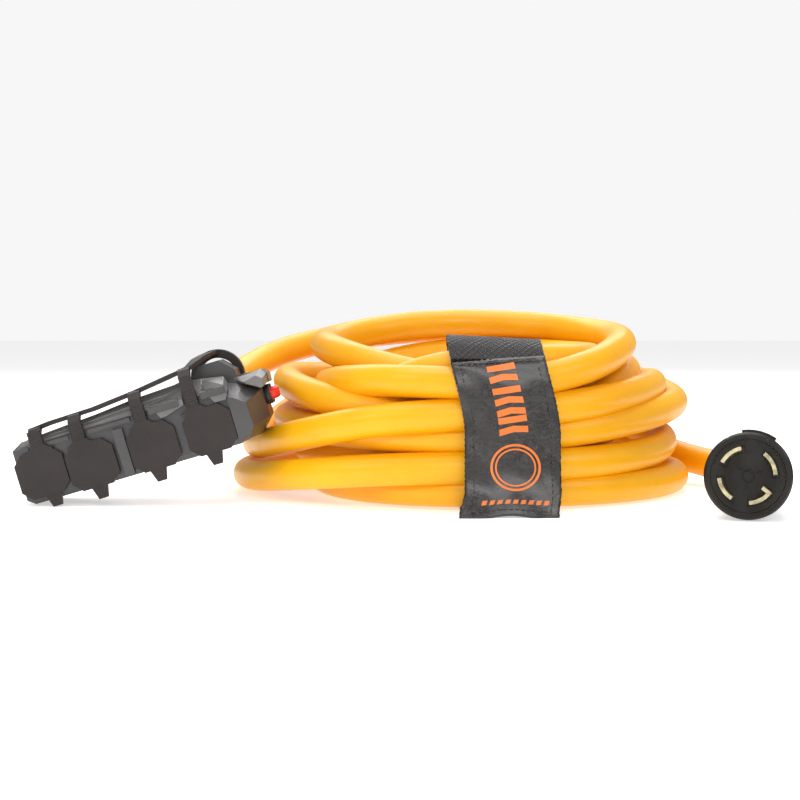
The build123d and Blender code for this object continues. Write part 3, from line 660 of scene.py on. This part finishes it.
def strap_tilt(side, z):
    """How much lower the top of the strap is at its right."""
    return -0.055 * side * smooth_step(z, 70.0, 90.0)


def cloth(name, verts, rows, columns, closed, step, thickness, offset):
    """A sheet through rows of columns + 1 places, with coordinates that count along its threads."""
    width = columns + 1
    faces = []
    for r in range(rows if closed else rows - 1):
        for c in range(columns):
            a, b = r * width + c, (r + 1) % rows * width + c
            faces.append((a, a + 1, b + 1, b))
    obj = mesh_object(name, verts, faces)
    uv = obj.data.uv_layers.new(name="threads")
    for loop in obj.data.loops:
        row, column = divmod(loop.vertex_index, width)
        uv.data[loop.index].uv = (column * step * MM, row * step * MM)
    solid = obj.modifiers.new("thickness", "SOLIDIFY")
    solid.thickness = thickness * MM
    solid.offset = offset
    return obj


def webbing(name, line, closed, thickness, step=1.05, relief=0.34):
    """A woven band along a line of (y, z), with its threads in relief and uneven edges."""
    places = evenly(through(line, closed, PER_SPAN), step, closed)[0]
    columns = round(2 * STRAP_HALF / step)
    rows = len(places)
    verts = []
    for r, here in enumerate(places):
        ahead = places[(r + 1) % rows] if closed else places[min(r + 1, rows - 1)]
        behind = places[r - 1] if closed or r else places[0]
        direction = (ahead - behind).normalized()
        normal = Vector((-direction[1], direction[0]))
        for c in range(columns + 1):
            side = -STRAP_HALF + 2 * STRAP_HALF * c / columns
            if c in (0, columns):
                side += WEBBING_FRAY * math.sin(r * 2.4) * math.cos(r * 0.37)
            y, z = here + normal * (relief * (1 if (r // 2 + c // 2) % 2 else -1))
            verts.append(mm((STRAP_X + side + strap_shift(here[1]), y, z + strap_tilt(side, z))))
    return cloth(name, verts, rows, columns, closed, step, thickness, 0.0)


panel_places, panel_along, PANEL_LENGTH = evenly(through(PANEL_LINE, False, PER_SPAN), 0.5, False)


def panel_point(side, up, lift=0.0):
    """A place on the label panel: side from its middle and up from its foot, in millimetres."""
    y = np.interp(up, panel_along, [p[0] for p in panel_places])
    z = np.interp(up, panel_along, [p[1] for p in panel_places])
    share = up / PANEL_LENGTH
    hem = 1 - smooth_step(up, 0.0, 16.0)
    ripple = 0.55 * math.sin(up * 0.21 + side * 0.09) * math.sin(side * 0.13 + 1.1)
    crown = 1.1 * (abs(side) / STRAP_HALF) ** 3
    top = smooth_step(up, PANEL_LENGTH - 10, PANEL_LENGTH)
    y += crown * (1 - top) - ripple * (1 - top) * 0.8 - lift
    y -= hem * 1.6 * smooth_step(-side, 5.0, STRAP_HALF)
    z += hem * (0.9 * math.cos(side * 0.16) - 0.8) + lift * 0.5 * share
    z += strap_tilt(side, z) + top * (side / STRAP_HALF) * 2.6
    x = STRAP_X + side + strap_shift(z) - hem * 2.2 * smooth_step(-side, 16.0, STRAP_HALF)
    return mm((x, y, max(z, 0.2)))


def add_panel():
    """The label panel that hangs down the front of the strap."""
    columns, rows = round(2 * STRAP_HALF / PANEL_STEP), round(PANEL_LENGTH / PANEL_STEP)
    verts = []
    for r in range(rows + 1):
        up = PANEL_LENGTH * r / rows
        for c in range(columns + 1):
            side = -STRAP_HALF + 2 * STRAP_HALF * c / columns
            if c in (0, columns):
                side += PANEL_FRAY * math.sin(r * 1.9) * math.cos(r * 0.53)
            verts.append(panel_point(side, up))
    return cloth("strap_label_panel", verts, rows + 1, columns, False, PANEL_STEP, PANEL_THICKNESS, -1.0)


STITCH_PITCH, STITCH_LENGTH, STITCH_LIFT = 3.1, 2.2, 0.15
STITCH_RINGS, STITCH_SIDES = 5, 6
# In metres
STITCH_RISE, STITCH_RADIUS = 0.00035, 0.00032


def add_stitches():
    """Two rows of stitches down the panel, and one across its top and foot."""
    verts, faces = [], []
    spans, sides = STITCH_RINGS - 1, STITCH_SIDES

    def stitch(start, end):
        begin = len(verts)
        direction = (end - start).normalized()
        out = Vector((0, -1, 0.15)).normalized()
        across = direction.cross(out).normalized()
        length = (end - start).length
        for k in range(STITCH_RINGS):
            t = k / spans
            middle = start + direction * length * t + out * STITCH_RISE * math.sin(math.pi * t)
            radius = STITCH_RADIUS * (0.45 + 0.55 * math.sin(math.pi * t))
            for j in range(sides):
                angle = 2 * math.pi * j / sides
                verts.append(middle + (across * math.cos(angle) + out * math.sin(angle)) * radius)
        for k in range(spans):
            for j in range(sides):
                a, b = begin + k * sides + j, begin + k * sides + (j + 1) % sides
                faces.append((a, b, b + sides, a + sides))
        faces.append(tuple(begin + j for j in reversed(range(sides))))
        faces.append(tuple(begin + spans * sides + j for j in range(sides)))

    for side in (-STRAP_HALF + 4.6, STRAP_HALF - 4.6):
        up = 3.0
        while up < PANEL_LENGTH - 4:
            ahead = up + STITCH_LENGTH
            stitch(panel_point(side, up, STITCH_LIFT), panel_point(side, ahead, STITCH_LIFT))
            up += STITCH_PITCH
    for up in (3.6, PANEL_LENGTH - 2.6):
        side = -STRAP_HALF + 5.4
        while side < STRAP_HALF - 6:
            ahead = side + STITCH_LENGTH
            stitch(panel_point(side, up, STITCH_LIFT), panel_point(ahead, up, STITCH_LIFT))
            side += STITCH_PITCH
    return mesh_object("strap_stitches", verts, faces)


PRINT_LIFT, PRINT_THICKNESS, PRINT_EDGE = 0.28, 0.12, 2.2
RING_PIECES = 36
BAR_HEIGHT, CHEVRON_RISE = 3.4, 2.2


def print_mesh(shapes):
    """Printed shapes on the panel: outlines in (side, up), cut fine enough to follow the cloth."""
    grid = bmesh.new()
    for outline in shapes:
        corners = [grid.verts.new((side, up, 0)) for side, up in outline]
        grid.faces.new(corners)
    bmesh.ops.triangulate(grid, faces=grid.faces[:])
    for _ in range(2):
        long_edges = [edge for edge in grid.edges if edge.calc_length() > PRINT_EDGE]
        bmesh.ops.subdivide_edges(grid, edges=long_edges, cuts=1, use_grid_fill=True)
        bmesh.ops.triangulate(grid, faces=grid.faces[:])
    for v in grid.verts:
        v.co = panel_point(v.co.x, v.co.y, PRINT_LIFT)
    mesh = bpy.data.meshes.new("strap_print")
    grid.to_mesh(mesh)
    grid.free()
    obj = add("strap_print", mesh)
    solid = obj.modifiers.new("ink", "SOLIDIFY")
    solid.thickness = PRINT_THICKNESS * MM
    return obj


def ring_shapes(side, up, radius_x, radius_y, width):
    """A ring in short four-cornered pieces."""
    shapes = []
    for k in range(RING_PIECES):
        a0, a1 = 2 * math.pi * k / RING_PIECES, 2 * math.pi * (k + 1) / RING_PIECES
        shapes.append([
            (side + radius_x * math.cos(a0), up + radius_y * math.sin(a0)),
            (side + radius_x * math.cos(a1), up + radius_y * math.sin(a1)),
            (side + (radius_x - width) * math.cos(a1), up + (radius_y - width) * math.sin(a1)),
            (side + (radius_x - width) * math.cos(a0), up + (radius_y - width) * math.sin(a0)),
        ])
    return shapes


def print_shapes():
    """A plain pattern: slanted bars and chevrons above, a ring below, and dashes at the foot."""
    shapes = []
    left, right, slant = -7.2, 8.2, 2.2
    for up in (76.4, 64.2, 48.6):
        bar = [(left, up), (right, up + slant), (right, up + slant + BAR_HEIGHT), (left, up + BAR_HEIGHT)]
        shapes.append(bar)
    for up in (70.2, 58.2, 52.4, 42.6):
        middle = (left + right) / 2
        low, high = (middle, up + CHEVRON_RISE), (middle, up + 5.6)
        shapes.append([(left, up + BAR_HEIGHT), (left, up), low, high])
        shapes.append([high, low, (right, up + slant), (right, up + slant + BAR_HEIGHT)])
    shapes += ring_shapes(1.2, 26.0, 13.4, 12.6, 1.3)
    shapes += ring_shapes(1.2, 26.0, 10.9, 10.2, 0.9)
    for k in range(9):
        side = -16.4 + 4.1 * k
        shapes.append([(side, 6.6), (side + 2.6, 6.8), (side + 3.0, 9.0), (side + 0.4, 8.8)])
    return shapes


band = finish_piece(webbing("strap_band", WEBBING_LINE, True, 1.3), "strap_webbing")
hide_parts("strap_webbing")
panel = finish_piece(add_panel(), "strap_label")
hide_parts("strap_panel")
TAB_LINE = [(-73.6, 82.6), (-66.6, 89.6), (-57.0, 93.4), (-46.0, 93.6), (-37.6, 89.6)]
tab = finish_piece(webbing("strap_tab_piece", TAB_LINE, False, 1.0, 0.8, 0.2), "strap_tab")
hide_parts("strap_hook_tab")
stitches = finish_piece(add_stitches(), "strap_label", look="thread")
ink = finish_piece(print_mesh(print_shapes()), "strap_label", look="ink")


# ---- Block details ----
def lofted(name, sections, bevel):
    """A faceted solid through sections that have the same number of points, in the block's axes."""
    count = len(sections[0])
    verts = [in_block(p) for section in sections for p in section]
    last = (len(sections) - 1) * count
    faces = [tuple(reversed(range(count))), tuple(range(last, last + count))]
    for start in range(0, last, count):
        for k in range(count):
            a, b = start + k, start + (k + 1) % count
            faces.append((a, b, b + count, a + count))
    obj = mesh_object(name, verts, faces, False)
    outward = bmesh.new()
    outward.from_mesh(obj.data)
    bmesh.ops.recalc_face_normals(outward, faces=outward.faces[:])
    outward.to_mesh(obj.data)
    outward.free()
    eased = obj.modifiers.new("eased_edges", "BEVEL")
    eased.width = bevel * MM
    eased.segments = 2
    # The lofted roof pieces take the lighter housing plastic, a painted highlight on their facets
    return finish_piece(obj, "housing", look="housing_painted_highlight")


ROOF_EDGE = 34.5
# Places along the roof and its height there
ROOF = [
    (5.0, 37.6),
    (10.0, 38.6),
    (24.0, 39.6),
    (50.0, 41.2),
    (72.0, 43.4),
    (98.0, 44.6),
    (112.0, 43.6),
    (122.0, 40.6),
]
# Shares of the way in from the front and of the way up, for each step of the roof's front
ROOF_STEPS = [(0.0, 0.0), (0.22, 0.20), (0.24, 0.30), (0.52, 0.54), (0.54, 0.64), (1.0, 1.0)]


def roof_section(along, height):
    """The roof's outline at a place along the block: stepped in front, sloping away behind."""
    front = [(along, 1.2 + 9.3 * out, ROOF_EDGE + (height - ROOF_EDGE) * up) for out, up in ROOF_STEPS]
    return front + [(along, 17.0, height), (along, 31.0, 37.8), (along, 30.0, 35.5), (along, 1.6, 33.9)]


lofted("roof_crest", [roof_section(*place) for place in ROOF], 0.25)


def profile(depth, *corners):
    """A section across the block at one depth, from its (x, z) corners."""
    return [(x, depth, z) for x, z in corners]


LUG_FRONT = profile(-3.0, (83.8, 34.0), (86.4, 28.8), (89.6, 29.0), (100.8, 32.4), (100.8, 35.6))
LUG_BACK = profile(12.0, (80.2, 42.0), (82.0, 36.0), (90.0, 36.0), (100.8, 37.0), (100.8, 45.4))
POD_FRONT = profile(-3.0, (114.6, 34.6), (117.6, 28.6), (124.4, 28.6), (126.0, 32.4), (124.8, 37.4))
POD_BACK = profile(13.0, (109.8, 44.4), (112.0, 34.0), (124.4, 34.0), (126.0, 37.0), (124.8, 41.4))
HOOD_FRONT = profile(
    7.0, (135.0, 34.8), (136.6, 33.4), (143.4, 29.2), (145.6, 29.6), (146.0, 33.8), (143.0, 36.6)
)
HOOD_BACK = profile(
    21.5, (128.0, 38.8), (129.0, 35.0), (143.4, 30.6), (147.6, 31.4), (148.0, 36.6), (145.2, 39.6)
)
lofted("roof_lug", [LUG_FRONT, LUG_BACK], 0.4)
lofted("end_pod", [POD_FRONT, POD_BACK], 0.6)
lofted("hood_nose", [HOOD_FRONT, HOOD_BACK], 0.6)


def on_facet(corners, right, back):
    """A point of a four-cornered facet: corners are front left, front right, back right, back left."""
    a, b, c, d = (Vector(p) for p in corners)
    return (a.lerp(b, right)).lerp(d.lerp(c, right), back)


RIB_WIDTH, RIB_HEIGHT, RIB_ROOT, RIB_TOP = 0.55, 0.45, -0.4, 0.6


def facet_ribs(name, corners, lines):
    """Thin raised ribs on a facet, each along a line of (right, back) shares."""
    verts, faces = [], []
    a, b, _, d = (Vector(p) for p in corners)
    up = (b - a).cross(d - a).normalized() * RIB_HEIGHT
    for line in lines:
        for start, end in zip(line, line[1:]):
            p, q = on_facet(corners, *start), on_facet(corners, *end)
            side = (q - p).cross(up).normalized() * RIB_WIDTH / 2
            begin = len(verts)
            root, top = RIB_ROOT * up, RIB_TOP * side
            for place in (p, q):
                for shift, lift in ((side, root), (top, up), (-top, up), (-side, root)):
                    verts.append(in_block(place + shift + lift))
            faces.append(tuple(begin + k for k in (3, 2, 1, 0)))
            faces.append(tuple(begin + k for k in (4, 5, 6, 7)))
            for k in range(4):
                n = (k + 1) % 4
                faces.append((begin + k, begin + n, begin + 4 + n, begin + 4 + k))
    # The ribs take the lighter housing plastic too, a painted highlight
    return finish_piece(mesh_object(name, verts, faces, False), "housing", look="housing_painted_highlight")


CHEVRONS = [[(t, 0.16), (t + 0.2, 0.5), (t, 0.84)] for t in (0.1, 0.24, 0.38, 0.52)]
facet_ribs("pod_chevrons", [POD_FRONT[0], POD_FRONT[4], POD_BACK[4], POD_BACK[0]], CHEVRONS)
STREAKS = [[(0.06, t), (0.94, t)] for t in (0.18, 0.42, 0.66, 0.86)]
facet_ribs("lug_ribs", [LUG_FRONT[0], LUG_FRONT[4], LUG_BACK[4], LUG_BACK[0]], STREAKS)

NECK_X = [16.2, 39.4, 75.2, 105.4]
HINGE_Z = [35.6, 32.4, 32.4, 32.4]
NECK_HALF = 3.75
NECK_FRONT, NECK_BACK, NECK_CORNER = -3.45, -0.3, 0.6
NECK_ABOVE, NECK_BELOW, NECK_STEP = 6.6, 1.7, 0.25
RIB_PITCH, RIB_DEPTH, RIB_SHARPNESS = 1.5, 0.38, 0.7


def add_living_hinge(i):
    """The ribbed neck between the tether and a cap; it is not attached to a body and does not bend."""
    neck, hinge = NECK_X[i], HINGE_Z[i]
    top, bottom = hinge + NECK_ABOVE, hinge - NECK_BELOW
    rows = round((top - bottom) / NECK_STEP)
    verts, faces = [], []
    for r in range(rows + 1):
        up = top - NECK_STEP * r
        wave = 0.5 + 0.5 * math.cos(2 * math.pi * (up - hinge) / RIB_PITCH)
        rib = RIB_DEPTH * wave**RIB_SHARPNESS
        front, back, half = NECK_FRONT - rib, NECK_BACK + 0.4 * rib, NECK_HALF + 0.3 * rib
        outline = [
            (-half, back),
            (-half, front + NECK_CORNER),
            (-half + NECK_CORNER, front),
            (0, front),
            (half - NECK_CORNER, front),
            (half, front + NECK_CORNER),
            (half, back),
            (0, back),
        ]
        verts += [in_block((neck + side, depth, up)) for side, depth in outline]
    around = len(outline)
    for r in range(rows):
        for k in range(around):
            a, b = r * around + k, r * around + (k + 1) % around
            faces.append((a, a + around, b + around, b))
    faces.append(tuple(range(around)))
    faces.append(tuple(rows * around + k for k in reversed(range(around))))
    obj = mesh_object(f"living_hinge_{i + 1}", verts, faces)
    finish_piece(obj, "cap_rubber", None)
    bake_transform(obj)


for hinge_number in range(len(NECK_X)):
    add_living_hinge(hinge_number)

# ---- Plug details ----
PLUG_AT = Vector((322.5, -103.0, 23.45))
PLUG_BACK = Vector((0.2404, 0.9641, -0.1132))
PLUG_RIGHT = PLUG_BACK.cross(Vector((0, 0, 1))).normalized()
PLUG_UP = PLUG_RIGHT.cross(PLUG_BACK)


def on_plug(right, up, lift):
    return mm(PLUG_AT + PLUG_RIGHT * right + PLUG_UP * up - PLUG_BACK * lift)


def face_bar(verts, faces, start, end, width, lift):
    """A raised bar on the plug's face from start to end, both (right, up)."""
    a, b = Vector(start), Vector(end)
    direction = (b - a).normalized() * width / 2
    side = Vector((-direction.y, direction.x))
    begin = len(verts)
    for level, share in ((-0.5, 1.0), (lift, 0.7)):
        for corner in (a + side * share, a - side * share, b - side * share, b + side * share):
            verts.append(on_plug(corner.x, corner.y, level))
    faces.append(tuple(begin + k for k in (4, 5, 6, 7)))
    for k in range(4):
        n = (k + 1) % 4
        faces.append((begin + k, begin + n, begin + 4 + n, begin + 4 + k))


TICK_DEGREES = [*range(-4, 80, 7), *range(96, 166, 7)]
TICK_FROM, TICK_TO, TICK_WIDTH, TICK_LIFT = 17.9, 20.6, 0.8, 0.35
MARK_RING, MARK_RING_PIECES = 3.1, 16
SPOKE_DEGREES = (20, 140, 260)
SPOKE_FROM, SPOKE_TO = 4.6, 7.4
MARK_WIDTH, MARK_LIFT = 0.6, 0.3


def add_plug_marks():
    """Plain raised ticks round the face, and a small ring with three spokes in its middle."""
    verts, faces = [], []

    def spoke(degrees, inner, outer, width, lift):
        c, s = math.cos(math.radians(degrees)), math.sin(math.radians(degrees))
        face_bar(verts, faces, (inner * c, inner * s), (outer * c, outer * s), width, lift)

    for degrees in TICK_DEGREES:
        spoke(degrees, TICK_FROM, TICK_TO, TICK_WIDTH, TICK_LIFT)
    for k in range(MARK_RING_PIECES):
        ends = []
        for step in (k, k + 1):
            angle = math.pi * step / (MARK_RING_PIECES / 2)
            ends.append((MARK_RING * math.cos(angle), MARK_RING * math.sin(angle)))
        face_bar(verts, faces, *ends, MARK_WIDTH, MARK_LIFT)
    for degrees in SPOKE_DEGREES:
        spoke(degrees, SPOKE_FROM, SPOKE_TO, MARK_WIDTH, MARK_LIFT)
    return finish_piece(mesh_object("plug_face_marks", verts, faces, False), "plug_shell")


plug_marks = add_plug_marks()


WHITE = (1, 1, 1, 1)
FLOOR_HALF = 6.0
SEEN_WORLD, LIT_WORLD = 0.93, 0.42
LIGHTS_AIM = (0.16, 0.05, 0.05)
# Each light: name, place and size in metres, power in watts
LIGHTS = [
    ("top", (0.1, 0.1, 1.3), (1.4, 1.0), 14.0),
    ("back", (0.1, 1.4, 1.15), (1.6, 0.7), 11.0),
    ("front", (0.2, -1.35, 0.78), (0.9, 0.3), 6.0),
    ("left", (-0.9, -0.7, 0.8), (0.5, 0.5), 3.0),
    ("right", (1.3, -0.6, 0.9), (0.5, 0.5), 3.0),
]


def add_floor():
    size = FLOOR_HALF
    corners = [(-size, -size, 0), (size, -size, 0), (size, size, 0), (-size, size, 0)]
    floor = mesh_object("floor", corners, [(0, 1, 2, 3)], False)
    material, bsdf = shader("floor", (0.88, 0.88, 0.88, 1), 0.8, specular=0.0)
    bsdf.inputs["Emission Color"].default_value = WHITE
    bsdf.inputs["Emission Strength"].default_value = 0.5
    floor.data.materials.append(material)


def add_light(name, place, size, power):
    data = bpy.data.lights.new(name, "AREA")
    data.shape = "RECTANGLE"
    data.size, data.size_y = size
    data.energy = power
    lamp = add(name, data)
    lamp.location = place
    lamp.rotation_mode = "QUATERNION"
    lamp.rotation_quaternion = (Vector(LIGHTS_AIM) - Vector(place)).to_track_quat("-Z", "Y")


def add_studio():
    """White surroundings, brighter to the camera than as light, and the lights."""
    world = bpy.data.worlds.new("studio")
    scene.world = world
    world.use_nodes = True
    background = world.node_tree.nodes["Background"]
    background.inputs["Color"].default_value = WHITE
    background.inputs["Strength"].default_value = SEEN_WORLD
    shade = world.node_tree.nodes.new("ShaderNodeBackground")
    shade.inputs["Color"].default_value = WHITE
    shade.inputs["Strength"].default_value = LIT_WORLD
    ray = world.node_tree.nodes.new("ShaderNodeLightPath")
    mix = world.node_tree.nodes.new("ShaderNodeMixShader")
    links = world.node_tree.links
    links.new(ray.outputs["Is Camera Ray"], mix.inputs["Fac"])
    links.new(shade.outputs["Background"], mix.inputs[1])
    links.new(background.outputs["Background"], mix.inputs[2])
    links.new(mix.outputs["Shader"], world.node_tree.nodes["World Output"].inputs["Surface"])
    for light in LIGHTS:
        add_light(*light)
    scene.view_settings.view_transform = "Standard"


add_floor()
add_studio()
